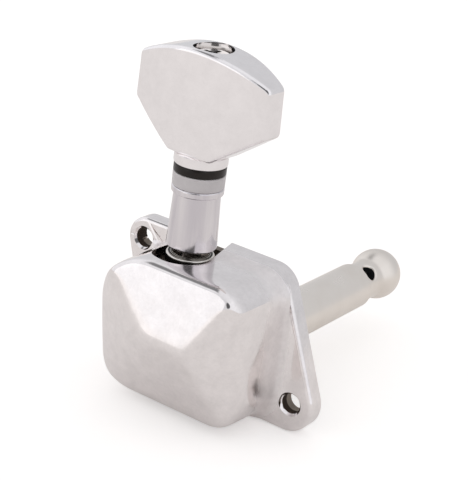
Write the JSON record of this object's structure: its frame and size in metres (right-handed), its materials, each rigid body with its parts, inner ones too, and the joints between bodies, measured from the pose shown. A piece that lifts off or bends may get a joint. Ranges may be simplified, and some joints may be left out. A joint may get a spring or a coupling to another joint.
{
  "type": "guitar tuning machine",
  "caption": "Closed guitar tuning machine: hipped chrome cover over a worm drive, ball-ended string post, and a lens-shaped key on a stem above the cover.",
  "frame": {"origin": "on the axis of the string post, on the face that lies against the headstock", "axes": "+Y along the string post, away from the cover and through the headstock; +Z along the stem towards the key; +X to the right as seen from the cover"},
  "size_m": [0.029, 0.0499, 0.0437],
  "materials": {
    "cover_chrome": "polished plating on a zinc casting",
    "key_chrome": "polished plating on a zinc casting",
    "barrel_chrome": "plated, softly drawn along the barrel",
    "post_nickel": "satin nickel plating",
    "screw_nickel": "bright nickel plating",
    "plated_steel": "zinc plated",
    "wheel_brass": "cut brass",
    "bush_brass": "turned brass",
    "pale_nylon": "milky nylon",
    "black_plastic": "matt black"
  },
  "bodies": {
    "case": {"cover": "cover_chrome", "base_plate": "plated_steel", "post_bush": "bush_brass", "stem_bush": "plated_steel", "barrel": "barrel_chrome", "spacer_ring": "pale_nylon"},
    "stem": {"worm_shaft": "plated_steel", "thrust_washer": "plated_steel", "friction_ring": "black_plastic", "key": "key_chrome", "key_screw": "screw_nickel"},
    "post": {"string_post": "post_nickel", "wheel_washer": "plated_steel", "worm_wheel": "wheel_brass", "wheel_screw_washer": "plated_steel", "wheel_screw": "plated_steel"}
  },
  "joints": [
    {"name": "key_spin", "type": "hinge", "parent": "case", "child": "stem", "pos_m": [-0.005, -0.0056, 0], "axis": [0, 0, 1], "continuous": true},
    {"name": "post_spin", "type": "hinge", "parent": "case", "child": "post", "pos_m": [0, 0, 0], "axis": [0, 1, 0], "continuous": true}
  ],
  "couplings": [
    {"joint": "post_spin", "follows": "key_spin", "ratio": -0.071429}
  ]
}
